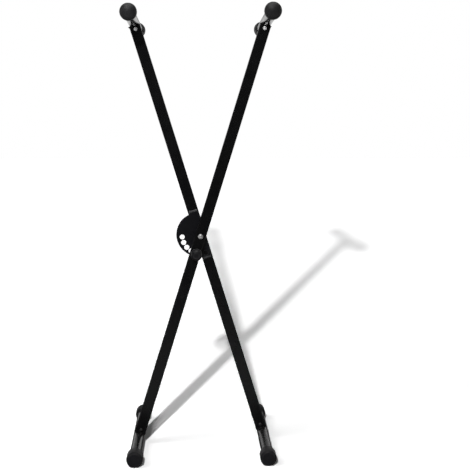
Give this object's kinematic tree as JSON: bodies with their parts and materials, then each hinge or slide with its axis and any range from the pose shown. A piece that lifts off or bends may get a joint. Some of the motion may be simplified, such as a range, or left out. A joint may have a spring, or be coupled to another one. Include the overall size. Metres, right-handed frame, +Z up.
{
  "type": "keyboard stand",
  "caption": "Folding X-frame keyboard stand: crossed square legs on a pivot bolt, a drilled lock plate with a spring plunger, round arm and foot tubes with rubber end caps.",
  "frame": {"origin": "on the floor, under the pivot and midway between the two legs, at the highest setting", "axes": "+X across the stand to the right as the knob is seen, +Y away from the knob along the arms, +Z up"},
  "size_m": [0.338, 0.4102, 0.9909],
  "materials": {
    "black_paint": "gloss",
    "zinc_plate": "satin",
    "spring_steel": "satin",
    "rubber": "matte",
    "black_plastic": "matte"
  },
  "bodies": {
    "rear_frame": {"rear_leg": "black_paint", "rear_arm_tube": "black_paint", "rear_foot_tube": "black_paint", "rear_arm_stub": "black_paint", "rear_foot_stub": "black_paint", "rear_arm_cap_near": "rubber", "rear_arm_cap_far": "rubber", "rear_foot_cap_near": "rubber", "rear_foot_cap_far": "rubber", "rear_arm_screw": "zinc_plate", "rear_foot_screw": "zinc_plate", "lock_plate": "black_paint", "lock_plate_weld_upper": "black_paint", "lock_plate_weld_lower": "black_paint", "pivot_bolt": "zinc_plate", "pivot_head_washer": "zinc_plate", "pivot_nut_washer": "zinc_plate", "pivot_lock_nut": "zinc_plate", "pivot_sleeve_rear": "zinc_plate", "pivot_spacer": "black_plastic"},
    "front_frame": {"front_leg": "black_paint", "front_arm_tube": "black_paint", "front_foot_tube": "black_paint", "front_arm_stub": "black_paint", "front_foot_stub": "black_paint", "front_arm_cap_near": "rubber", "front_arm_cap_far": "rubber", "front_foot_cap_near": "rubber", "front_foot_cap_far": "rubber", "front_arm_screw": "zinc_plate", "front_foot_screw": "zinc_plate", "pivot_sleeve_front": "zinc_plate", "plunger_housing": "black_paint"},
    "plunger": {"plunger_pin": "spring_steel", "pull_knob": "black_plastic", "plunger_spring": "spring_steel"}
  },
  "joints": [
    {"name": "fold", "type": "hinge", "parent": "rear_frame", "child": "front_frame", "pos_m": [0, 0, 0.48677], "axis": [0, 1, 0], "range_deg": [-29.92, 71.6]},
    {"name": "plunger_slide", "type": "slide", "parent": "front_frame", "child": "plunger", "axis": [0, 1, 0], "range_m": [-0.006, 0.0031], "stiffness_N_per_m": 1500, "deforming": ["plunger_spring"]}
  ]
}
